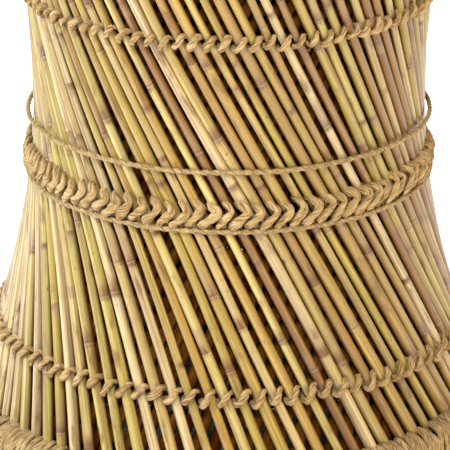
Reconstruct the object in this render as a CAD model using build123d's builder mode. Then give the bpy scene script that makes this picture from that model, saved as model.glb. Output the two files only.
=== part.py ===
from build123d import *
import os
from math import atan, cos, degrees, floor, radians, sin, sqrt, tan

# A round cane stool with a waist. Two layers of canes lean opposite ways between a rope-bound
# roll at the floor and a rope-bound roll round the seat, and twined rope holds the layers together.
# Z = 0 is the floor, the stool's own axis is Z, and all sizes are in millimetres.

# Overall sizes
stool_height = 430
base_radius = 203
top_radius = 165
waist_radius = 138.4  # from the axis to the middle of an outer cane
waist_height = 255

# Canes
cane_count = 88
outer_cane_diameter = 7.4
inner_cane_diameter = 7.0
layer_gap = 1.2  # between the two layers of canes
waist_lean = 28  # degrees from upright, at the waist
lean_settling = 225  # height over which the lean falls away from the waist
cane_stations = 5

# Rope-bound rolls
fit_clearance = 0.4
wrap_thickness = 3.5
roll_corner = 15
base_roll_height = 51
base_roll_width = 45
base_core_height = 24
top_roll_height = 42
top_roll_width = 46
top_core_height = 20
outer_hoop_diameter = 5.0
inner_hoop_diameter = 8.0

# Twined rope bands round the canes
band_thickness = 5.0
lower_band_height = 88
lower_band_depth = 14
waist_band_height = 215.7
waist_band_depth = 17.6
upper_band_height = 339
upper_band_depth = 11

# Cords tied round the waist, with their knots at the back
waist_cord_diameter = 3.4
lower_cord_gap = 0.3  # from the knot up to the waist band
upper_cord_gap = 17.8  # from the waist band up to the knot
knot_thickness = 7
knot_depth = 7
knot_length = 16

# Seat
seat_hoop_diameter = 8.0
slat_diameter = 6.0
slat_pitch = 9.0
seat_recess = 3.0  # from the top of the roll down to the seat
seat_weave_thickness = 8.0
seat_weave_edge = 3.0

# Where the canes start and end. On a slanting wall, a cane's section is wider when measured level.
slope_allowance = 1.12
outer_cane_reach = slope_allowance * outer_cane_diameter / 2
inner_cane_reach = slope_allowance * inner_cane_diameter / 2
layer_offset = outer_cane_reach + inner_cane_reach + slope_allowance * layer_gap
roll_fill = wrap_thickness + outer_hoop_diameter + 3 * fit_clearance
cane_end_dip = 0.55 * outer_cane_diameter / 2  # how far a slanting end reaches past its middle
foot_height = wrap_thickness + base_core_height + fit_clearance + cane_end_dip
head_height = stool_height - wrap_thickness - top_core_height - fit_clearance - cane_end_dip
foot_radius = base_radius - roll_fill - outer_cane_reach
head_radius = top_radius - roll_fill - outer_cane_reach
waist_turn_rate = tan(radians(waist_lean)) / waist_radius


def cane_radius_at(height):
    """Distance from the axis to the middle of an outer cane: a hyperbola, narrowest at the waist."""
    end_height, end_radius = head_height, head_radius
    if height < waist_height:
        end_height, end_radius = foot_height, foot_radius
    share = (height - waist_height) / (end_height - waist_height)
    return sqrt(waist_radius**2 + (end_radius**2 - waist_radius**2) * share**2)


def cane_turn_at(height):
    """Angle, in radians, that a cane has gone round the axis since the waist, growing downwards."""
    return waist_turn_rate * lean_settling * atan((waist_height - height) / lean_settling)


def outer_face_at(height):
    """Distance from the axis to the outside of the outer canes."""
    return cane_radius_at(height) + outer_cane_reach


def inner_face_at(height):
    """Distance from the axis to the inside of the inner canes."""
    return cane_radius_at(height) - layer_offset - inner_cane_reach


def finish(piece, name):
    """Label a finished piece and write it out."""
    piece.part.label = name
    export_step(piece.part, f"parts/{name}.step")


# Canes. One cane is straight runs joined by the widest arcs that fit, and its layer is that cane
# repeated round the axis.
def cane_points(inset, handedness):
    """Points up the middle of one cane. Handedness is 1 in the outer layer and -1 in the inner."""
    points = []
    for station in range(cane_stations):
        height = foot_height + (head_height - foot_height) * station / (cane_stations - 1)
        radius = cane_radius_at(height) - inset
        turn = handedness * cane_turn_at(height)
        points.append(Vector(radius * cos(turn), radius * sin(turn), height))
    return points


def bend_radii(points):
    """The radius of the arc at each corner of a line of points, as large as its runs allow."""
    radii = []
    for before, corner, after in zip(points, points[1:], points[2:]):
        shorter_run = min((corner - before).length, (after - corner).length)
        half_turn = radians((corner - before).get_angle(after - corner)) / 2
        radii.append(0.45 * shorter_run / tan(half_turn))
    return radii


def cane_layer(diameter, inset, handedness):
    points = cane_points(inset, handedness)
    with BuildPart() as cane:
        with BuildLine():
            path = FilletPolyline(*points, radius=bend_radii(points))
        with BuildSketch(Plane(origin=path @ 0, z_dir=path % 0)):
            Circle(diameter / 2)
        sweep()
    with BuildPart() as layer:
        with PolarLocations(0, cane_count):
            add(cane.part)
    return layer


# Rope-bound rolls. A roll is a grass core, the cane ends, a hoop each side of them, and a rope
# wrap that is open where the canes come in.
def roll_section(outer_radius, width, bottom, height, inset, mode=Mode.ADD):
    """The rounded section of a roll, shrunk all round by the inset."""
    with Locations((outer_radius - width / 2, bottom + height / 2)):
        RectangleRounded(width - 2 * inset, height - 2 * inset, roll_corner - inset, mode=mode)


def roll_wrap(outer_radius, width, bottom, height, mouth_height, mouth_inside, mouth_outside):
    with BuildPart() as wrap:
        with BuildSketch(Plane.XZ):
            roll_section(outer_radius, width, bottom, height, 0)
            roll_section(outer_radius, width, bottom, height, wrap_thickness, Mode.SUBTRACT)
            with Locations(((mouth_inside + mouth_outside) / 2, mouth_height)):
                Rectangle(mouth_outside - mouth_inside, height / 2, mode=Mode.SUBTRACT)
        revolve(axis=Axis.Z)
    return wrap


def roll_core(outer_radius, width, bottom, height, core_bottom, core_height):
    with BuildPart() as core:
        with BuildSketch(Plane.XZ):
            roll_section(outer_radius, width, bottom, height, wrap_thickness + fit_clearance)
            with Locations((outer_radius - width / 2, core_bottom + core_height / 2)):
                Rectangle(width, core_height, mode=Mode.INTERSECT)
        revolve(axis=Axis.Z)
    return core


def hoop(radius, height, diameter, arc=360):
    with BuildPart() as ring:
        with BuildSketch(Plane.XZ):
            with Locations((radius, height)):
                Circle(diameter / 2)
        revolve(axis=Axis.Z, revolution_arc=arc)
    return ring


def outer_hoop(height):
    return hoop(outer_face_at(height) + fit_clearance + outer_hoop_diameter / 2, height, outer_hoop_diameter)


def inner_hoop(height):
    return hoop(inner_face_at(height) - fit_clearance - inner_hoop_diameter / 2, height, inner_hoop_diameter)


# Bands, cords and knots, which lie on the outside of the outer canes.
def twined_band(height, depth):
    """A band that leans with the canes, a clearance away from them."""
    low, high = height - depth / 2, height + depth / 2
    low_face = outer_face_at(low) + fit_clearance
    high_face = outer_face_at(high) + fit_clearance
    with BuildPart() as band:
        with BuildSketch(Plane.XZ) as section:
            with BuildLine():
                Polyline(
                    (low_face, low),
                    (low_face + band_thickness, low),
                    (high_face + band_thickness, high),
                    (high_face, high),
                    close=True,
                )
            make_face()
            level_corners = section.vertices().group_by(Axis.Y)
            outside_corners = [level.sort_by(Axis.X)[-1] for level in (level_corners[0], level_corners[-1])]
            fillet(outside_corners, band_thickness / 2 - fit_clearance)
        revolve(axis=Axis.Z)
    return band


def cord_radius(height):
    """Distance from the axis to the middle of a cord whose knot stays clear of the outer canes."""
    widest_touch = max(outer_face_at(height - knot_depth / 2), outer_face_at(height + knot_depth / 2))
    return widest_touch + fit_clearance + knot_thickness / 2


def knot_arc(height):
    """The angle, in degrees, that a knot takes up round the stool."""
    return degrees(knot_length / cord_radius(height))


def tied_cord(height):
    """The cord, open at the back where its knot sits."""
    ring = hoop(cord_radius(height), height, waist_cord_diameter, 360 - knot_arc(height))
    with BuildPart() as cord:
        with Locations(Rotation(0, 0, 90 + knot_arc(height) / 2)):
            add(ring.part)
    return cord


def knot(height):
    """A rounded knot that the two ends of its cord run into."""
    with BuildPart() as lump:
        with BuildSketch(Plane.XZ):
            with Locations((cord_radius(height), height)):
                Ellipse(knot_thickness / 2, knot_depth / 2)
        revolve(axis=Axis.Z, revolution_arc=knot_arc(height))
    with BuildPart() as turned:
        with Locations(Rotation(0, 0, 90 - knot_arc(height) / 2)):
            add(lump.part)
    return turned


# Seat. A hoop inside the top roll carries two crossed layers of slats, and the woven rope lies on them.
seat_radius = top_radius - top_roll_width - fit_clearance
seat_top = stool_height - seat_recess
upper_slat_height = seat_top - seat_weave_thickness - fit_clearance - slat_diameter / 2
lower_slat_height = upper_slat_height - slat_diameter - fit_clearance
seat_hoop_height = lower_slat_height - slat_diameter / 2 - fit_clearance - seat_hoop_diameter / 2


def slat_layer(height, along, across):
    """Parallel slats on the given axes, each as long as the round seat has room for."""
    slat_radius = slat_diameter / 2
    side_count = floor((seat_radius - 2 * slat_diameter) / slat_pitch)
    with BuildPart() as layer:
        for step in range(-side_count, side_count + 1):
            offset = step * slat_pitch
            length = 2 * sqrt(seat_radius**2 - (abs(offset) + slat_radius) ** 2)
            start = across * offset - along * length / 2 + Vector(0, 0, height)
            with BuildSketch(Plane(origin=start, z_dir=along)):
                Circle(slat_radius)
            extrude(amount=length)
    return layer


def seat_pad():
    with BuildPart() as pad:
        with BuildSketch(Plane.XZ) as section:
            with Locations((0, seat_top - seat_weave_thickness)):
                Rectangle(seat_radius, seat_weave_thickness, align=(Align.MIN, Align.MIN))
            fillet(section.vertices().sort_by(Axis.X)[-2:], seat_weave_edge)
        revolve(axis=Axis.Z)
    return pad


os.makedirs("parts", exist_ok=True)

finish(cane_layer(outer_cane_diameter, 0, 1), "outer_canes")
finish(cane_layer(inner_cane_diameter, layer_offset, -1), "inner_canes")

base_hollow_top = base_roll_height - wrap_thickness
base_mouth_inside = inner_face_at(base_roll_height) - fit_clearance
base_mouth_outside = outer_face_at(base_hollow_top) + fit_clearance
base_roll = (base_radius, base_roll_width, 0, base_roll_height)
finish(roll_wrap(*base_roll, base_roll_height, base_mouth_inside, base_mouth_outside), "base_wrap")
finish(roll_core(*base_roll, wrap_thickness, base_core_height), "base_core")
finish(outer_hoop(foot_height + outer_hoop_diameter / 2), "base_outer_hoop")
finish(inner_hoop(foot_height + inner_hoop_diameter / 2), "base_inner_hoop")

top_roll_bottom = stool_height - top_roll_height
top_hollow_bottom = top_roll_bottom + wrap_thickness
top_mouth_inside = inner_face_at(top_roll_bottom) - fit_clearance
top_mouth_outside = outer_face_at(top_hollow_bottom) + fit_clearance
top_core_bottom = stool_height - wrap_thickness - top_core_height
top_roll = (top_radius, top_roll_width, top_roll_bottom, top_roll_height)
finish(roll_wrap(*top_roll, top_roll_bottom, top_mouth_inside, top_mouth_outside), "top_wrap")
finish(roll_core(*top_roll, top_core_bottom, top_core_height), "top_core")
finish(outer_hoop(head_height - outer_hoop_diameter / 2), "top_outer_hoop")
finish(inner_hoop(head_height - inner_hoop_diameter / 2), "top_inner_hoop")

finish(twined_band(lower_band_height, lower_band_depth), "lower_twining")
finish(twined_band(waist_band_height, waist_band_depth), "waist_twining")
finish(twined_band(upper_band_height, upper_band_depth), "upper_twining")

cord_spacing = (waist_band_depth + knot_depth) / 2  # from the band's middle to a cord beside it
lower_cord_height = waist_band_height - cord_spacing - lower_cord_gap
upper_cord_height = waist_band_height + cord_spacing + upper_cord_gap
finish(tied_cord(lower_cord_height), "waist_cord_lower")
finish(tied_cord(upper_cord_height), "waist_cord_upper")
finish(knot(lower_cord_height), "waist_knot_lower")
finish(knot(upper_cord_height), "waist_knot_upper")

seat_hoop_radius = seat_radius - seat_hoop_diameter / 2
finish(hoop(seat_hoop_radius, seat_hoop_height, seat_hoop_diameter), "seat_hoop")
finish(slat_layer(lower_slat_height, Vector(1, 0, 0), Vector(0, 1, 0)), "seat_slats_lower")
finish(slat_layer(upper_slat_height, Vector(0, 1, 0), Vector(1, 0, 0)), "seat_slats_upper")
finish(seat_pad(), "seat_weave")
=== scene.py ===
from math import atan, atan2, ceil, cos, pi, radians, sin, sqrt, tan
from random import Random

import bmesh
import bpy
from mathutils import Matrix, Vector


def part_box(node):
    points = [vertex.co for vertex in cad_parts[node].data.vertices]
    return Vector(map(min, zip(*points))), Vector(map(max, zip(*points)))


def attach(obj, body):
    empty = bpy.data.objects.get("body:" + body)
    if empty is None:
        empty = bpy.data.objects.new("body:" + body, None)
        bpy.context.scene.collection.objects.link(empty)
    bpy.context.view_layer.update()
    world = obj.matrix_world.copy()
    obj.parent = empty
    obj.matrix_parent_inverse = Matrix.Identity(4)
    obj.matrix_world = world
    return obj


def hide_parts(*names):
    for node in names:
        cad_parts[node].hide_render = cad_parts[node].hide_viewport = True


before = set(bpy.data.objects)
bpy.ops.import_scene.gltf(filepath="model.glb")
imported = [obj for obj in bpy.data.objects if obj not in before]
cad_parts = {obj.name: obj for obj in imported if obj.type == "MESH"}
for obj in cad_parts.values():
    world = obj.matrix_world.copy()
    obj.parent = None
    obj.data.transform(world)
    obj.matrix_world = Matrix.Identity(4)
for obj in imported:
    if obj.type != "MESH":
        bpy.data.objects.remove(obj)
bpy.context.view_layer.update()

MM = 0.001    # metres

# ---------------------------------------------------------------------------------------------
# The stool's driving sizes, read from the frame's nodes where they give them. The others are the
# sizes that the stool was built to.
# ---------------------------------------------------------------------------------------------
CANE_COUNT = 88
CANE_PITCH = 2 * pi / CANE_COUNT
BASE_LOW, BASE_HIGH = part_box("base_wrap")
TOP_LOW, TOP_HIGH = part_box("top_wrap")
FOOT_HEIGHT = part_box("outer_canes")[0].z
HEAD_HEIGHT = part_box("outer_canes")[1].z
CANE_RADIUS = 3.7 * MM
FOOT_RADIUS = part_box("outer_canes")[1].x - CANE_RADIUS
HEAD_RADIUS = 151.2 * MM
WAIST_RADIUS = 138.4 * MM
WAIST_HEIGHT = 255 * MM
WAIST_LEAN = radians(28)
LEAN_SETTLING = 225 * MM
LAYER_OFFSET = 9.4 * MM    # from the middle of an outer cane in to the middle of an inner one
FOOT_THICKNESS = 7.9 * MM
HEAD_THICKNESS = 6.3 * MM
BASE_ROLL_WIDTH = 45 * MM
TOP_ROLL_WIDTH = 46 * MM
ROLL_CORNER = 15 * MM
LOWER_BAND = sum(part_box("lower_twining"), Vector()).z / 2
WAIST_BAND = sum(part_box("waist_twining"), Vector()).z / 2
UPPER_BAND = sum(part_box("upper_twining"), Vector()).z / 2
LOWER_CORD = sum(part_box("waist_cord_lower"), Vector()).z / 2
UPPER_CORD = sum(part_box("waist_cord_upper"), Vector()).z / 2
SEAT_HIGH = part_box("seat_weave")[1]


def cane_radius_at(height):
    """Distance from the axis to the middle of an outer cane: a hyperbola, narrowest at the waist."""
    end_height, end_radius = HEAD_HEIGHT, HEAD_RADIUS
    if height < WAIST_HEIGHT:
        end_height, end_radius = FOOT_HEIGHT, FOOT_RADIUS
    share = (height - WAIST_HEIGHT) / (end_height - WAIST_HEIGHT)
    return sqrt(WAIST_RADIUS**2 + (end_radius**2 - WAIST_RADIUS**2) * share**2)


def cane_turn_at(height):
    """Angle that an outer cane has gone round the axis since the waist, growing downwards."""
    turn_rate = tan(WAIST_LEAN) / WAIST_RADIUS
    return turn_rate * LEAN_SETTLING * atan((WAIST_HEIGHT - height) / LEAN_SETTLING)


def cane_thickness_at(height):
    share = (height - FOOT_HEIGHT) / (HEAD_HEIGHT - FOOT_HEIGHT)
    return FOOT_THICKNESS + (HEAD_THICKNESS - FOOT_THICKNESS) * share


def round_place(radius, angle, height):
    return Vector((radius * cos(angle), radius * sin(angle), height))


def outward_at(place):
    return Vector((place.x, place.y, 0)).normalized()


# ---------------------------------------------------------------------------------------------
# Strands: canes, ropes and cords are all an outline swept along a route
# ---------------------------------------------------------------------------------------------
def smooth_route(points, steps, longest=None):
    """A curve through given points. Each two have the given number of steps between them,
    or more where that keeps a step under the longest.
    """
    route = []
    padded = [points[0] * 2 - points[1]] + points + [points[-1] * 2 - points[-2]]
    for a, b, c, d in zip(padded, padded[1:], padded[2:], padded[3:]):
        count = max(steps, ceil((c - b).length / longest)) if longest else steps
        for step in range(count):
            t = step / count
            ahead = (c - a) * t + (a * 2 - b * 5 + c * 4 - d) * t**2 + (b * 3 - a - c * 3 + d) * t**3
            route.append(b + ahead * 0.5)
    return route + [points[-1]]


NO_JOINT = 1.0    # farther off than any mark round a joint


def ring_place(route, index, facing, width, depth, twist):
    """The matrix that puts a unit outline on the route: x across, y the way it faces, z along."""
    along = (route[min(index + 1, len(route) - 1)] - route[max(index - 1, 0)]).normalized()
    across = facing.cross(along).normalized()
    out = along.cross(across)
    place = Matrix((across * width / 2, out * depth / 2, along)).transposed().to_4x4()
    place.translation = route[index]
    return place @ Matrix.Rotation(twist, 4, "Z")


def swept(route, width, depth, facings, sides, lobes=0.0, ply_pitch=None, tone=0.5, joints=None, start=0.0):
    """A closed tube along a route, as a small mesh of its own.

    Width and depth are lists, with one size for each point, or single sizes. Lobes squash the
    outline into two plies, which turn once in each ply pitch. The grain attribute is the place in
    the straightened strand, and the joint attribute is the distance to the nearest cane joint.
    """
    widths = width if isinstance(width, list) else [width] * len(route)
    depths = depth if isinstance(depth, list) else [depth] * len(route)
    mesh = bmesh.new()
    grain = mesh.verts.layers.float_vector.new("grain")
    tone_layer = mesh.verts.layers.float.new("tone")
    joint_layer = mesh.verts.layers.float.new("joint")
    ring = bmesh.ops.create_circle(mesh, cap_ends=False, radius=1, segments=sides)["verts"]
    for vertex in ring:
        angle = atan2(vertex.co.y, vertex.co.x)
        vertex.co *= 1 + lobes * cos(2 * angle)
        vertex[grain] = (vertex.co.x * widths[0] / 2, vertex.co.y * widths[0] / 2, start)
        vertex[tone_layer] = tone
        vertex[joint_layer] = joints[0] if joints else NO_JOINT
    edges = list({edge for vertex in ring for edge in vertex.link_edges})
    bmesh.ops.contextual_create(mesh, geom=edges)
    length, place = 0.0, None
    for index in range(len(route)):
        if index:
            length += (route[index] - route[index - 1]).length
        twist = 2 * pi * (length / ply_pitch + tone) if ply_pitch else 0.0
        new_place = ring_place(route, index, facings[index], widths[index], depths[index], twist)
        if index:
            out = bmesh.ops.extrude_edge_only(mesh, edges=edges)["geom"]
            edges = [item for item in out if isinstance(item, bmesh.types.BMEdge)]
            ring = [item for item in out if isinstance(item, bmesh.types.BMVert)]
            bmesh.ops.transform(mesh, matrix=new_place @ place.inverted(), verts=ring)
            for vertex in ring:
                x, y, _ = vertex[grain]
                vertex[grain] = (x, y, start + length)
                vertex[joint_layer] = joints[index] if joints else NO_JOINT
        else:
            bmesh.ops.transform(mesh, matrix=new_place, verts=ring)
        place = new_place
    bmesh.ops.contextual_create(mesh, geom=edges)
    bmesh.ops.recalc_face_normals(mesh, faces=mesh.faces)
    return mesh


class Bundle:
    """Gathers many swept strands into one piece of the stool."""

    def __init__(self, name):
        self.name = name
        self.mesh = bmesh.new()

    def add(self, strand):
        holder = bpy.data.meshes.new("strand")
        strand.to_mesh(holder)
        strand.free()
        self.mesh.from_mesh(holder)
        bpy.data.meshes.remove(holder)

    def finish(self, material, slot, *nodes):
        data = bpy.data.meshes.new(self.name)
        self.mesh.to_mesh(data)
        self.mesh.free()
        data.shade_smooth()
        data.materials.append(material)
        piece = bpy.data.objects.new(self.name, data)
        bpy.context.scene.collection.objects.link(piece)
        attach(piece, "root")
        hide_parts(*nodes)
        return piece


# ---------------------------------------------------------------------------------------------
# Finishes
# ---------------------------------------------------------------------------------------------
class Value:
    """A shader socket that can stand in a sum, so that an expression adds its own Math nodes."""

    def __init__(self, finish, socket):
        self.finish = finish
        self.socket = socket

    def math(self, operation, first, second):
        return self.finish.node("ShaderNodeMath", {"operation": operation}, {0: first, 1: second})

    def __add__(self, other):
        return self.math("ADD", self, other)

    def __sub__(self, other):
        return self.math("SUBTRACT", self, other)

    def __rsub__(self, other):
        return self.math("SUBTRACT", other, self)

    def __mul__(self, other):
        return self.math("MULTIPLY", self, other)

    __radd__ = __add__
    __rmul__ = __mul__


COAT_ROUGHNESS = 0.22


class Finish:
    """A node material, with one method that adds any node."""

    def __init__(self, name, roughness=0.5, specular=0.5, sheen=0.0, coat=0.0):
        self.material = bpy.data.materials.new(name)
        self.material.use_nodes = True
        self.tree = self.material.node_tree
        self.shader = self.tree.nodes["Principled BSDF"]
        self.shader.inputs["Roughness"].default_value = roughness
        self.shader.inputs["Specular IOR Level"].default_value = specular
        self.shader.inputs["Sheen Weight"].default_value = sheen
        self.shader.inputs["Coat Weight"].default_value = coat
        self.shader.inputs["Coat Roughness"].default_value = COAT_ROUGHNESS

    def node(self, kind, settings=None, values=None, output=0):
        node = self.tree.nodes.new(kind)
        for name, setting in (settings or {}).items():
            if name == "stops":
                self.set_stops(node.color_ramp, setting)
            else:
                setattr(node, name, setting)
        for name, value in (values or {}).items():
            if isinstance(value, Value):
                self.tree.links.new(value.socket, node.inputs[name])
            else:
                node.inputs[name].default_value = value
        return Value(self, node.outputs[output])

    def set_stops(self, ramp, stops):
        while len(ramp.elements) < len(stops):
            ramp.elements.new(0.5)
        for element, (place, colour) in zip(ramp.elements, stops):
            element.position = place
            element.color = (*colour, 1)

    def ramp(self, value, stops):
        return self.node("ShaderNodeValToRGB", {"stops": stops}, {"Fac": value})

    def attribute(self, name, output):
        return self.node("ShaderNodeAttribute", {"attribute_name": name}, output=output)

    def place(self):
        return self.node("ShaderNodeTexCoord", output=3)

    def noise(self, place, scale, detail=2.0, stretch=(1, 1, 1)):
        """Noise with the given features per metre, drawn out along an axis with a small stretch."""
        scales = tuple(scale * share for share in stretch)
        scaled = self.node("ShaderNodeVectorMath", {"operation": "MULTIPLY"}, {0: place, 1: scales})
        return self.node("ShaderNodeTexNoise", {}, {"Vector": scaled, "Scale": 1.0, "Detail": detail})

    def mix(self, share, first, second, blend="MIX"):
        first = (*first, 1) if isinstance(first, tuple) else first
        second = (*second, 1) if isinstance(second, tuple) else second
        settings = {"data_type": "RGBA", "blend_type": blend}
        return self.node("ShaderNodeMix", settings, {0: share, 6: first, 7: second}, 2)

    def clamp(self, value, low, high):
        """The value's run from low to high, as a share from 0 to 1."""
        values = {"Value": value, "From Min": low, "From Max": high}
        return self.node("ShaderNodeMapRange", {"interpolation_type": "SMOOTHSTEP"}, values)

    def feed(self, name, value):
        self.tree.links.new(value.socket, self.shader.inputs[name])

    def bump(self, height, distance):
        self.feed("Normal", self.node("ShaderNodeBump", {}, {"Height": height, "Distance": distance}))


CANE_COLOURS = [
    (0.00, (0.550, 0.435, 0.235)),
    (0.14, (0.500, 0.390, 0.190)),
    (0.26, (0.420, 0.345, 0.085)),
    (0.38, (0.455, 0.340, 0.160)),
    (0.50, (0.415, 0.305, 0.110)),
    (0.62, (0.350, 0.265, 0.040)),
    (0.74, (0.400, 0.268, 0.066)),
    (0.86, (0.320, 0.190, 0.042)),
    (0.95, (0.230, 0.110, 0.024)),
    (1.00, (0.150, 0.060, 0.014)),
]
INWARD_PAINTED_SHADE = (0.11, 0.034, 0.005)
RUST = (0.16, 0.068, 0.018)
DULL_FLANK = (0.28, 0.165, 0.060)
OLIVE_DRIFT = (0.36, 0.275, 0.050)
BROWN_STREAK = (0.21, 0.11, 0.032)
BROWN_HAIR = (0.19, 0.10, 0.030)
BLACK_FLECK = (0.07, 0.03, 0.01)
OLD_SHEATH = (0.30, 0.195, 0.095)
PALE_SCAR = (0.50, 0.38, 0.22)
JOINT_LINE = (0.13, 0.055, 0.015)
PALER_FLANK = (1.24, 1.24, 1.26)    # the last three multiply a colour
PALER_DRIFT = (1.16, 1.18, 1.32)
PALER_STREAK = (1.36, 1.38, 1.44)


def cane_finish(name, shade, gloss):
    """Cane skin: a tone for each cane, with streaks, stains and hairs along it. A joint is a dark
    line with a pale scar just under it, and rust and the remains of a leaf sheath above it. The
    side of a cane that faces the middle of the stool is painted umber, as painted shade between
    the canes. The shade colour multiplies the whole skin; on the inner layer it is painted shade.
    """
    finish = Finish(name, roughness=0.30, specular=2 * gloss, coat=gloss)
    grain = finish.attribute("grain", 1)
    tone = finish.attribute("tone", 2)
    joint = finish.attribute("joint", 2)
    outward = finish.node("ShaderNodeSeparateXYZ", {}, {0: grain}, 1)
    colour = finish.ramp(tone, CANE_COLOURS)
    streak = finish.noise(grain, 800, 3.0, (1, 1, 0.018))
    flank = finish.noise(grain, 230, 1.0, (1, 1, 0.012))
    colour = finish.mix(finish.clamp(flank, 0.50, 0.68) * 0.72, colour, DULL_FLANK)
    colour = finish.mix(finish.clamp(flank, 0.46, 0.32), colour, PALER_FLANK, "MULTIPLY")
    hair = finish.noise(grain, 2600, 2.0, (1, 1, 0.03))
    drift = finish.noise(grain, 55, 2.0, (0.5, 0.5, 0.30))
    colour = finish.mix(finish.clamp(drift, 0.50, 0.72), colour, PALER_DRIFT, "MULTIPLY")
    colour = finish.mix(finish.clamp(drift, 0.46, 0.30) * 0.45, colour, OLIVE_DRIFT)
    colour = finish.mix(finish.clamp(streak, 0.50, 0.72) * 0.62, colour, BROWN_STREAK)
    colour = finish.mix(finish.clamp(streak, 0.46, 0.28), colour, PALER_STREAK, "MULTIPLY")
    colour = finish.mix(finish.clamp(hair, 0.52, 0.76) * 0.35, colour, BROWN_HAIR)
    blotch = finish.noise(grain, 110, 4.0, (1, 1, 0.28))
    colour = finish.mix(finish.clamp(blotch, 0.58, 0.70) * 0.70, colour, RUST)
    fleck = finish.noise(grain, 420, 2.0, (1, 1, 0.5))
    colour = finish.mix(finish.clamp(fleck, 0.69, 0.76) * 0.7, colour, BLACK_FLECK)
    ragged = joint + (drift - 0.5) * 0.012 + (streak - 0.5) * 0.006
    rust = finish.clamp(ragged, 0.0105, 0.0020) * finish.clamp(ragged, -0.0045, -0.0008)
    colour = finish.mix(rust * finish.clamp(blotch, 0.34, 0.52) * 0.95, colour, RUST)
    frayed = joint + (streak - 0.5) * 0.016
    sheath = finish.clamp(frayed, 0.0190, 0.0140) * finish.clamp(frayed, 0.0000, 0.0012)
    colour = finish.mix(sheath * finish.clamp(drift, 0.44, 0.58) * 0.65, colour, OLD_SHEATH)
    scar = finish.clamp(joint, -0.0020, -0.0012) * finish.clamp(joint, 0.0002, -0.0006)
    colour = finish.mix(scar * 0.30, colour, PALE_SCAR)
    line = finish.clamp(joint, -0.0006, 0.0) * finish.clamp(joint, 0.0010, 0.0003)
    colour = finish.mix(line * 0.60, colour, JOINT_LINE)
    # painted shade: the inward side of each cane is darkened to umber, for the shade between the canes
    colour = finish.mix(finish.clamp(outward, 0.0014, -0.0022) * 0.90, colour, INWARD_PAINTED_SHADE)
    # painted shade: the skin is multiplied by the shade colour, which is dark brown on the inner layer
    colour = finish.mix(1.0, colour, shade, "MULTIPLY")
    finish.feed("Base Color", colour)
    finish.feed("Roughness", streak * 0.25 + 0.20)
    finish.bump(streak * 0.7 + hair * 0.3, 0.00030)
    return finish.material


ROPE_PAINTED_HOLLOW_SHADE = (0.17, 0.085, 0.026)
ROPE_PAINTED_HIGHLIGHT = (0.74, 0.56, 0.32)
ROPE_GOLD = (0.42, 0.30, 0.10)
ROPE_SHADE = (0.30, 0.165, 0.060)


def rope_finish(name, light, dark, fibre_scale):
    """Dry grass rope: fibres along each ply in random flecks; the dark flecks are painted shade for the
    hollows and the pale ones painted highlight for the ridges.
    """
    finish = Finish(name, roughness=0.85, specular=0.15, sheen=0.08)
    grain = finish.attribute("grain", 1)
    tone = finish.attribute("tone", 2)
    fibre = finish.noise(grain, fibre_scale, 4.0, (1, 1, 0.14))
    clump = finish.noise(grain, fibre_scale * 0.30, 2.0, (1, 1, 0.35))
    colour = finish.mix(tone, dark, light)
    # painted shade in dark fibre flecks and painted highlight in pale ones
    colour = finish.mix(finish.clamp(fibre, 0.52, 0.36) * 0.85, colour, ROPE_PAINTED_HOLLOW_SHADE)
    colour = finish.mix(finish.clamp(fibre, 0.52, 0.68) * 0.80, colour, ROPE_PAINTED_HIGHLIGHT)
    colour = finish.mix(finish.clamp(clump, 0.50, 0.70) * 0.45, colour, ROPE_GOLD)
    colour = finish.mix(finish.clamp(clump, 0.44, 0.28) * 0.45, colour, ROPE_SHADE)
    finish.feed("Base Color", colour)
    finish.bump(fibre * 0.8 + clump * 0.8, 0.0022)
    return finish.material


def hidden_cane_finish(name, light, dark):
    """Plain cane or grass for what is carried over whole, with its streaks laid round the stool."""
    finish = Finish(name, roughness=0.6, specular=0.3)
    place = finish.place()
    streak = finish.noise(place, 300, 3.0, (0.25, 0.25, 1))
    patch = finish.noise(place, 30, 2.0)
    colour = finish.mix(finish.clamp(streak, 0.35, 0.65), dark, light)
    colour = finish.mix(finish.clamp(patch, 0.5, 0.75) * 0.5, colour, dark)
    finish.feed("Base Color", colour)
    finish.bump(streak, 0.0005)
    return finish.material


FLOOR_GLOW = 1.0
GLOW_START, GLOW_FULL = 0.215, 0.40    # metres from the middle of the stool


def floor_finish():
    """Matt white, with painted light: it glows from just beyond the stool, and the glow is left off under and
    near the stool as a painted shadow round its foot.
    """
    finish = Finish("pale_floor", roughness=0.9, specular=0.1)
    place = finish.place()
    mottle = finish.noise(place, 6.0)
    finish.feed("Base Color", finish.mix(mottle, (0.90, 0.90, 0.90), (0.94, 0.94, 0.94)))
    distance = finish.node("ShaderNodeVectorMath", {"operation": "LENGTH"}, {0: place}, "Value")
    # painted light and shadow: the floor glows only from GLOW_START outward, so it stays dark under the stool
    glow = finish.clamp(distance, GLOW_START, GLOW_FULL)
    finish.feed("Emission Color", finish.mix(glow, (0.0, 0.0, 0.0), (1.0, 1.0, 1.0)))
    finish.shader.inputs["Emission Strength"].default_value = FLOOR_GLOW
    return finish.material


outer_cane_skin = cane_finish("outer_cane_skin", (1.0, 1.0, 1.0), 0.27)
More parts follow.
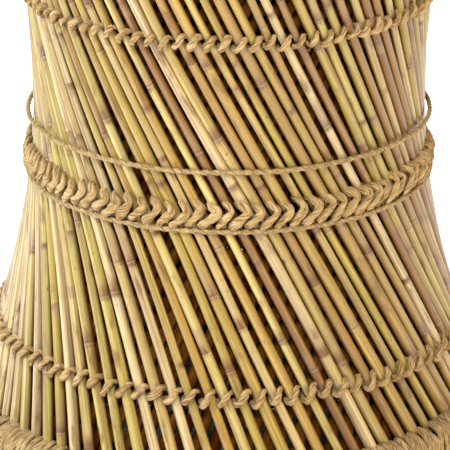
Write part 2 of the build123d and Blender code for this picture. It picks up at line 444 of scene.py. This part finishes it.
# The inner layer's skin is multiplied by a dark brown: painted shade for the inside of the stool.
inner_cane_painted_shade_skin = cane_finish("inner_cane_painted_shade_skin", (0.30, 0.155, 0.055), 0.0)
twining_rope = rope_finish("twining_rope", (0.60, 0.42, 0.20), (0.43, 0.28, 0.115), 1100)
wrap_rope = rope_finish("wrap_rope", (0.60, 0.43, 0.21), (0.45, 0.30, 0.13), 1300)
tie_cord = rope_finish("tie_cord", (0.60, 0.43, 0.20), (0.50, 0.34, 0.15), 1800)
seat_rope = rope_finish("seat_rope", (0.58, 0.41, 0.20), (0.44, 0.29, 0.12), 1500)
hoop_cane = hidden_cane_finish("hoop_cane", (0.55, 0.38, 0.17), (0.32, 0.19, 0.07))
dry_grass = hidden_cane_finish("dry_grass", (0.50, 0.37, 0.16), (0.26, 0.17, 0.06))
slat_cane = hidden_cane_finish("slat_cane", (0.62, 0.46, 0.22), (0.42, 0.27, 0.11))


# ---------------------------------------------------------------------------------------------
# Canes
# ---------------------------------------------------------------------------------------------
# Millimetres above a joint, and the share by which the cane swells there
JOINT_SHAPE = [
    (-5.0, 0.0), (-2.2, 0.0), (-1.2, 0.03), (-0.4, 0.06), (0.0, 0.01), (0.5, 0.04), (1.6, 0.0), (6.0, 0.0),
]
JOINT_REACH = 7 * MM
FAR_FROM_JOINT = 20 * MM
JOINT_START = (-190 * MM, 30 * MM)
JOINT_SPACING = (140 * MM, 270 * MM)


def cane_levels(dice, rings):
    """Heights up a cane, its distance to the nearest joint there, and the swelling at each."""
    joints = []
    height = FOOT_HEIGHT + dice.uniform(*JOINT_START)
    while height < HEAD_HEIGHT:
        height += dice.uniform(*JOINT_SPACING)
        joints.append(height)
    levels = []
    for joint in joints:
        size = dice.uniform(0.6, 1.5)
        levels += [(joint + rise * MM, rise * MM, swelling * size) for rise, swelling in JOINT_SHAPE]
    for index in range(rings):
        height = FOOT_HEIGHT + (HEAD_HEIGHT - FOOT_HEIGHT) * index / (rings - 1)
        nearest = min((height - joint for joint in joints), key=abs)
        if abs(nearest) > JOINT_REACH:
            levels.append((height, max(-FAR_FROM_JOINT, min(FAR_FROM_JOINT, nearest)), 0.0))
    return sorted(level for level in levels if FOOT_HEIGHT <= level[0] <= HEAD_HEIGHT)


# Where a cane's own tone lies in CANE_COLOURS, spread at random round a mean. The canes on one side are
# painted darker and more golden than the rest, and those on the far side paler: painted light and shade.
MEAN_TONE = 0.40
PAINTED_SIDE_SHADE_GAIN = 0.30
PAINTED_SHADE_SIDE = radians(20)
TONE_SPREAD = 0.25


def cane(number, inset, handedness, dice, fullness, slimmest, rings, sides):
    """One cane from roll to roll, a little bowed and uneven as real ones are. Handedness says
    which way it leans. Fullness scales its girth, which is never under the slimmest share.
    """
    levels = cane_levels(dice, rings)
    wander = dice.gauss(0, 0.06) * CANE_PITCH
    sway = []
    for _ in range(2):
        sway.append((dice.gauss(0, 0.055) * CANE_PITCH, dice.uniform(1, 3), dice.uniform(0, 2 * pi)))
    proud = dice.uniform(-0.35, 0.35) * MM
    girth = fullness * max(slimmest, min(1.14, dice.gauss(0.99, 0.075)))
    route, sizes = [], []
    for height, _, swelling in levels:
        rise = (height - FOOT_HEIGHT) / (HEAD_HEIGHT - FOOT_HEIGHT)
        bow = sum(reach * sin(waves * pi * rise + phase) for reach, waves, phase in sway)
        angle = number * CANE_PITCH + wander + bow + handedness * cane_turn_at(height)
        route.append(round_place(cane_radius_at(height) - inset + proud, angle, height))
        sizes.append(cane_thickness_at(height) * girth * (1 + swelling))
    facings = [outward_at(place) for place in route]
    joints = [distance for _, distance, _ in levels]
    # painted light and shade: the mean tone leans darker on one side of the stool and paler on the other
    side_shaded_tone = MEAN_TONE + PAINTED_SIDE_SHADE_GAIN * cos(number * CANE_PITCH + PAINTED_SHADE_SIDE)
    tone = max(0.0, min(1.0, dice.gauss(side_shaded_tone, TONE_SPREAD)))
    return swept(route, sizes, sizes, facings, sides, tone=tone, joints=joints, start=number * 0.9)


def make_canes():
    """Two layers that lean opposite ways. The inner canes are fuller, so no light shows through."""
    dice = Random(11)
    for name, skin, slot, node, inset, handedness, fullness, slimmest, rings, sides in (
        ("outer_cane_layer", outer_cane_skin, "outer_cane", "outer_canes", 0.0, 1, 1.0, 0.84, 22, 14),
        (
            "inner_cane_layer", inner_cane_painted_shade_skin, "inner_cane", "inner_canes",
            LAYER_OFFSET, -1, 1.19, 1.01, 16, 10,
        ),
    ):
        layer = Bundle(name)
        for number in range(CANE_COUNT):
            layer.add(cane(number, inset, handedness, dice, fullness, slimmest, rings, sides))
        layer.finish(skin, slot, node)


# ---------------------------------------------------------------------------------------------
# Twined bands. A stitch is listed as places across, up and out from the middle of the canes, in
# millimetres, from where it comes out of one gap to where it goes into another.
# ---------------------------------------------------------------------------------------------
SHORT_STITCH = [
    (-5.6, -3.6, -3.0), (-5.0, -5.0, 1.2), (-3.6, -4.6, 4.6), (-1.6, -1.8, 6.2), (0.6, 1.2, 6.6),
    (2.2, 3.8, 5.6), (3.6, 5.4, 3.8), (5.0, 4.6, 1.0), (5.4, 2.6, -3.0),
]
LONG_STITCH = [
    (-1.2, 7.8, -3.0), (0.0, 8.6, 2.6), (2.2, 7.9, 5.4), (4.4, 6.0, 6.4), (5.1, 3.6, 6.8), (3.0, 0.8, 7.2),
    (-0.4, -2.4, 7.2), (-3.8, -5.8, 6.2), (-4.8, -7.8, 4.8), (-3.6, -9.6, 2.8), (-2.0, -11.2, -2.6),
]
STITCH_PLY_PITCH = 30 * MM
STITCH_FLATNESS = 0.78


def stitch(shape, number, height, size, width, dice):
    """One stitch over a cane, loosened a little at random."""
    slack = [dice.uniform(0.85, 1.14) for _ in range(3)]
    lift = dice.gauss(0, 0.6) * MM
    points = []
    for across, up, proud in shape:
        level = height + lift + (up * size * slack[0] + dice.gauss(0, 0.25)) * MM
        radius = cane_radius_at(level) + proud * MM * (slack[1] if proud > 0 else 1.0)
        sideways = (across * size * slack[2] + dice.gauss(0, 0.22)) * MM
        angle = number * CANE_PITCH + cane_turn_at(height) + sideways / radius
        points.append(round_place(radius, angle, level))
    route = smooth_route(points, 2)
    facings = [outward_at(place) for place in route]
    girth = width * dice.uniform(0.78, 1.12)
    runs = [index / (len(route) - 1) for index in range(len(route))]
    widths = [girth * (0.86 + 0.14 * sin(pi * run)) for run in runs]
    depths = [part * STITCH_FLATNESS for part in widths]
    return swept(
        route, widths, depths, facings, 12, 0.20, STITCH_PLY_PITCH, dice.random(), start=number * 0.37
    )


def make_bands():
    dice = Random(23)
    for name, shape, height, size, width, shift in (
        ("lower_band", SHORT_STITCH, LOWER_BAND, 0.84, 5.1 * MM, 0.0),
        ("upper_band", SHORT_STITCH, UPPER_BAND, 0.74, 4.6 * MM, 0.0),
        ("waist_band", LONG_STITCH, WAIST_BAND - 2.0 * MM, 0.92, 6.0 * MM, 0.5),
    ):
        band = Bundle(name)
        for number in range(CANE_COUNT):
            band.add(stitch(shape, number + shift, height, size, width, dice))
        band.finish(twining_rope, "twining_rope", name.replace("_band", "_twining"))


CORD_STEPS = 460
CORD_WIDTH, CORD_DEPTH, CORD_PLY_PITCH = 3.5 * MM, 3.2 * MM, 14 * MM
KNOT_STEPS, KNOT_REACH = 36, 3.4 * MM
KNOT_STRAND, TAIL_STRAND, END_PLY_PITCH = 2.8 * MM, 2.6 * MM, 10 * MM


def tied_cord(name, height, dice, loose):
    """A two-ply cord drawn round the waist and knotted behind, which stands off at its slack sides."""
    waves = [(dice.gauss(0, 0.3) * MM, count, dice.uniform(0, 2 * pi)) for count in (4, 7, 11)]
    route = []
    for index in range(CORD_STEPS + 1):
        angle = pi / 2 + 2 * pi * index / CORD_STEPS
        level = height + sum(reach * sin(turns * angle + phase) for reach, turns, phase in waves)
        proud = cane_thickness_at(level) / 2 + 1.6 * MM + loose * cos(angle) ** 4
        route.append(round_place(cane_radius_at(level) + proud, angle, level))
    facings = [outward_at(place) for place in route]
    bundle = Bundle(name)
    bundle.add(swept(route, CORD_WIDTH, CORD_DEPTH, facings, 10, 0.20, CORD_PLY_PITCH, 0.7))
    knot_place = route[0]
    bundle.add(knot_strand(knot_place, KNOT_REACH))
    for side in (-1, 1):
        bundle.add(cord_tail(knot_place, side, dice))
    bundle.finish(tie_cord, "tie_cord", name, name.replace("cord", "knot"))


def knot_strand(place, size):
    """An overhand knot: a strand that goes round as a trefoil."""
    route = []
    for index in range(KNOT_STEPS + 1):
        turn = 2 * pi * index / KNOT_STEPS
        x = (sin(turn) + 2 * sin(2 * turn)) * size * 0.55
        z = (cos(turn) - 2 * cos(2 * turn)) * size * 0.42
        y = 0.4 * size - sin(3 * turn) * size * 0.45
        route.append(place + Vector((x, y, z)))
    facings = [Vector((0.0, 1.0, 0.0)) for _ in route]
    return swept(route, KNOT_STRAND, KNOT_STRAND, facings, 8, 0.18, END_PLY_PITCH, 0.6)


def cord_tail(place, side, dice):
    """A cut end of the cord, hanging down from the knot on one side."""
    drop = dice.uniform(9, 15)
    points = [
        (side * 2, 2.0, -2), (side * 5, 3.2, -6), (side * 6.5, 3.0, -drop), (side * 6.0, 3.4, -drop - 6),
    ]
    route = smooth_route([place + Vector(point) * MM for point in points], 5)
    facings = [Vector((0.0, 1.0, 0.0)) for _ in route]
    return swept(route, TAIL_STRAND, TAIL_STRAND, facings, 8, 0.18, END_PLY_PITCH, 0.6)


def make_cords():
    dice = Random(31)
    tied_cord("waist_cord_lower", LOWER_CORD, dice, 0.4 * MM)
    tied_cord("waist_cord_upper", UPPER_CORD, dice, 2.0 * MM)


# ---------------------------------------------------------------------------------------------
# Rope-bound rolls
# ---------------------------------------------------------------------------------------------
def roll_outline(inside, outside, bottom, top, mouth_inside, mouth_outside, mouth_up, inset):
    """Places (radius, height) round a roll's section, from the outer lip of its mouth to the inner."""
    side = 1 if mouth_up else -1
    mouth, far = (top, bottom) if mouth_up else (bottom, top)
    corner = ROLL_CORNER - inset
    inner, outer = inside + ROLL_CORNER, outside - ROLL_CORNER
    near_level, far_level = mouth - side * ROLL_CORNER, far + side * ROLL_CORNER
    outline = [
        (mouth_outside - 0.5 * MM, mouth - side * 7 * MM),
        (mouth_outside + 1.2 * MM, mouth - side * 2.2 * MM),
    ]
    for middle, outwards, level, towards_mouth, turns in (
        (outer, 1, near_level, side, (62, 30, 0)),
        (outer, 1, far_level, -side, (0, 45, 85)),
        (inner, -1, far_level, -side, (85, 45, 0)),
        (inner, -1, near_level, side, (0, 35)),
    ):
        for turn in map(radians, turns):
            radius = middle + outwards * corner * cos(turn)
            outline.append((radius, level + towards_mouth * corner * sin(turn)))
    outline += [
        (mouth_inside - 1.0 * MM, mouth - side * 2.6 * MM),
        (mouth_inside + 0.5 * MM, mouth - side * 7 * MM),
    ]
    return outline


ROLL_SLUMP = 10 * MM    # how much lower the base roll is on one side
ROLL_PLY_PITCH = 42 * MM
ROLL_STEP = 5.5 * MM
STRAND_SINK, STRAND_WIDTH, STRAND_DEPTH = 0.44, 1.30, 0.72    # as shares of the cord
FAN_PITCH = 0.17    # between turns where they come out of a gap, as a share of the cane pitch


def wrapped_roll(name, node, low, high, width, mouth_level, mouth_up, per_cane, cord, dice):
    """Turns of rope round a roll, a few of which come out of each gap between two canes."""
    bundle = Bundle(name)
    mouth_outside = cane_radius_at(mouth_level) + CANE_RADIUS
    mouth_inside = cane_radius_at(mouth_level) - LAYER_OFFSET - CANE_RADIUS
    count = CANE_COUNT * per_cane
    for number in range(count):
        place_in_gap = number % per_cane
        inset = cord * STRAND_SINK + dice.uniform(0, 0.7) * MM
        even = (number + 0.5) / per_cane
        slump = (1 - cos(even * CANE_PITCH)) * ROLL_SLUMP / 2 if mouth_up else 0.0
        outline = roll_outline(
            high.x - width, high.x, low.z, high.z - slump, mouth_inside, mouth_outside, mouth_up, inset
        )
        gap = number // per_cane + 0.5 + 0.25 * sin(number * 1.7)
        start = gap + (place_in_gap - (per_cane - 1) / 2) * FAN_PITCH
        slant = dice.gauss(0, 0.05)
        points = []
        for index, (radius, height) in enumerate(outline):
            spread = min(1.0, index / 3)
            angle = ((1 - spread) * start + spread * even + slant * sin(index)) * CANE_PITCH
            points.append(round_place(radius, angle + cane_turn_at(mouth_level), height))
        route = smooth_route(points, 1, ROLL_STEP)
        facings = []
        for place in route:
            middle = outward_at(place) * (high.x - width / 2) + Vector((0, 0, (low.z + high.z) / 2))
            facings.append((place - middle).normalized())
        across, depth = cord * STRAND_WIDTH * dice.uniform(0.88, 1.10), cord * STRAND_DEPTH
        tone = dice.random()
        bundle.add(swept(route, across, depth, facings, 6, 0.08, ROLL_PLY_PITCH, tone, start=number * 0.23))
    bundle.finish(wrap_rope, "rope_wrap", node)


TURNS_PER_GAP = 3


def make_rolls():
    dice = Random(47)
    for name, node, low, high, width, mouth_level, mouth_up, cord in (
        ("base_roll", "base_wrap", BASE_LOW, BASE_HIGH, BASE_ROLL_WIDTH, BASE_HIGH.z, True, 4.4 * MM),
        ("top_roll", "top_wrap", TOP_LOW, TOP_HIGH, TOP_ROLL_WIDTH, TOP_LOW.z, False, 3.9 * MM),
    ):
        wrapped_roll(name, node, low, high, width, mouth_level, mouth_up, TURNS_PER_GAP, cord, dice)


# ---------------------------------------------------------------------------------------------
# Seat
# ---------------------------------------------------------------------------------------------
SEAT_PITCH = 6.6 * MM
SEAT_STRAND = (6.0 * MM, 3.9 * MM)
SEAT_PLY_PITCH = 22 * MM
EAST, NORTH, UP = Vector((1, 0, 0)), Vector((0, 1, 0)), Vector((0, 0, 1))


def make_seat():
    """Rope woven over and under across the seat, each strand ending against the roll."""
    dice = Random(59)
    bundle = Bundle("woven_seat")
    reach = SEAT_HIGH.x + 2.2 * MM
    level = SEAT_HIGH.z - 4.2 * MM
    side_count = int(reach / SEAT_PITCH) - 1
    strand_width, strand_depth = SEAT_STRAND
    for along, across, phase in ((EAST, NORTH, 0), (NORTH, EAST, 1)):
        for number in range(-side_count, side_count + 1):
            offset = number * SEAT_PITCH
            half = sqrt(reach**2 - offset**2)
            steps = max(2, round(2 * half / SEAT_PITCH * 2.5))
            route = []
            for index in range(steps + 1):
                run = -half + 2 * half * index / steps
                wave = cos(pi * (run / SEAT_PITCH + number + phase)) * 1.35 * MM
                sag = -1.6 * MM * (1 - (run**2 + offset**2) / reach**2)
                drift = 0.5 * MM * sin(run * 31 + number * 2.1)
                route.append(along * run + across * (offset + drift) + UP * (level + wave + sag))
            width = strand_width * dice.uniform(0.92, 1.06)
            tone, start = dice.random(), number * 0.31
            facings = [UP] * len(route)
            bundle.add(swept(route, width, strand_depth, facings, 6, 0.08, SEAT_PLY_PITCH, tone, start=start))
    bundle.finish(seat_rope, "seat_rope", "seat_weave")


# ---------------------------------------------------------------------------------------------
# Loose fibres that stand out of the ropes
# ---------------------------------------------------------------------------------------------
FIBRE_THICKNESS = 0.28 * MM
FIBRE_CURL = 0.8 * MM


def make_fibres():
    dice = Random(67)
    bundle = Bundle("loose_fibres")
    for level, reach, count in (
        (LOWER_BAND, 8 * MM, 150),
        (WAIST_BAND, 12 * MM, 260),
        (UPPER_BAND, 7 * MM, 110),
    ):
        for _ in range(count):
            angle = dice.uniform(0, 2 * pi)
            height = level + dice.uniform(-reach, reach)
            start = round_place(cane_radius_at(height) + dice.uniform(5.5, 8.5) * MM, angle, height)
            out = outward_at(start)
            side = Vector((-out.y, out.x, 0))
            lean = out * dice.uniform(0.1, 0.8) + side * dice.uniform(-1, 1) + UP * dice.uniform(-1, 1)
            lean.normalize()
            curl = Vector((dice.gauss(0, 1), dice.gauss(0, 1), dice.gauss(0, 1))) * FIBRE_CURL
            length = dice.uniform(2.5, 6.5) * MM
            points = [start, start + lean * length * 0.5 + curl, start + lean * length]
            route = smooth_route(points, 2)
            facings = [out.cross(lean).normalized()] * len(route)
            bundle.add(swept(route, FIBRE_THICKNESS, FIBRE_THICKNESS, facings, 3, tone=dice.random()))
    bundle.finish(tie_cord, "twining_rope")


# ---------------------------------------------------------------------------------------------
# The pieces that the frame already shapes
# ---------------------------------------------------------------------------------------------
def finish_carried_nodes():
    for material, *nodes in (
        (dry_grass, "base_core", "top_core"),
        (hoop_cane, "base_outer_hoop", "base_inner_hoop", "top_outer_hoop", "top_inner_hoop", "seat_hoop"),
        (slat_cane, "seat_slats_lower", "seat_slats_upper"),
    ):
        for node in nodes:
            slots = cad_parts[node].data.materials
            slots.clear()
            slots.append(material)


# ---------------------------------------------------------------------------------------------
# Floor, light and camera
# ---------------------------------------------------------------------------------------------
FLOOR_REACH = 12
FLOOR_DROP = 0.2 * MM


def make_floor():
    mesh = bmesh.new()
    bmesh.ops.create_grid(mesh, x_segments=1, y_segments=1, size=FLOOR_REACH)
    data = bpy.data.meshes.new("floor")
    mesh.to_mesh(data)
    mesh.free()
    data.materials.append(floor_finish())
    floor = bpy.data.objects.new("floor", data)
    floor.location.z = BASE_LOW.z - FLOOR_DROP
    bpy.context.scene.collection.objects.link(floor)


def softbox(name, place, aim, size, power, colour):
    light = bpy.data.lights.new(name, "AREA")
    light.shape = "DISK"
    light.size = size
    light.energy = power
    light.color = colour
    lamp = bpy.data.objects.new(name, light)
    lamp.location = place
    lamp.rotation_euler = (Vector(aim) - Vector(place)).to_track_quat("-Z", "Y").to_euler()
    bpy.context.scene.collection.objects.link(lamp)


DAYLIGHT = (1.0, 0.98, 0.94)
WHITE = (1.0, 1.0, 1.0)
LAMPLIGHT = (1.0, 0.64, 0.20)


def make_light():
    """A small high key light in front, a broad white one on the left and a warm one on the right."""
    middle = (0, 0, 0.2)
    softbox("key_softbox", (-0.25, -1.9, 2.6), middle, 0.45, 58, DAYLIGHT)
    softbox("left_softbox", (-2.1, -0.7, 1.2), middle, 0.9, 44, WHITE)
    softbox("right_softbox", (1.8, -1.5, 0.7), middle, 0.9, 18, LAMPLIGHT)
    softbox("back_softbox", (0.4, 2.3, 1.6), middle, 1.2, 14, WHITE)
    world = bpy.data.worlds.new("studio")
    world.use_nodes = True
    background = world.node_tree.nodes["Background"]
    background.inputs["Color"].default_value = (1, 0.96, 0.90, 1)
    background.inputs["Strength"].default_value = 0.17
    bpy.context.scene.world = world
    bpy.context.scene.view_settings.view_transform = "Standard"


def make_camera():
    """Looks down a little at the waist, close enough to cut off the seat and the foot."""
    distance, elevation = 2.5, radians(21.27)
    aim = Vector((-2.9 * MM, 0, LOWER_CORD - 51.5 * MM))
    data = bpy.data.cameras.new("camera")
    data.lens = 271.7
    data.sensor_width = 36
    data.clip_start = 0.1
    camera = bpy.data.objects.new("camera", data)
    camera.location = aim + Vector((0, -distance * cos(elevation), distance * sin(elevation)))
    camera.rotation_euler = (aim - camera.location).to_track_quat("-Z", "Y").to_euler()
    bpy.context.scene.collection.objects.link(camera)
    bpy.context.scene.camera = camera


make_camera()
make_floor()
make_light()
make_canes()
make_bands()
make_cords()
make_rolls()
make_seat()
make_fibres()
finish_carried_nodes()

bpy.context.view_layer.update()
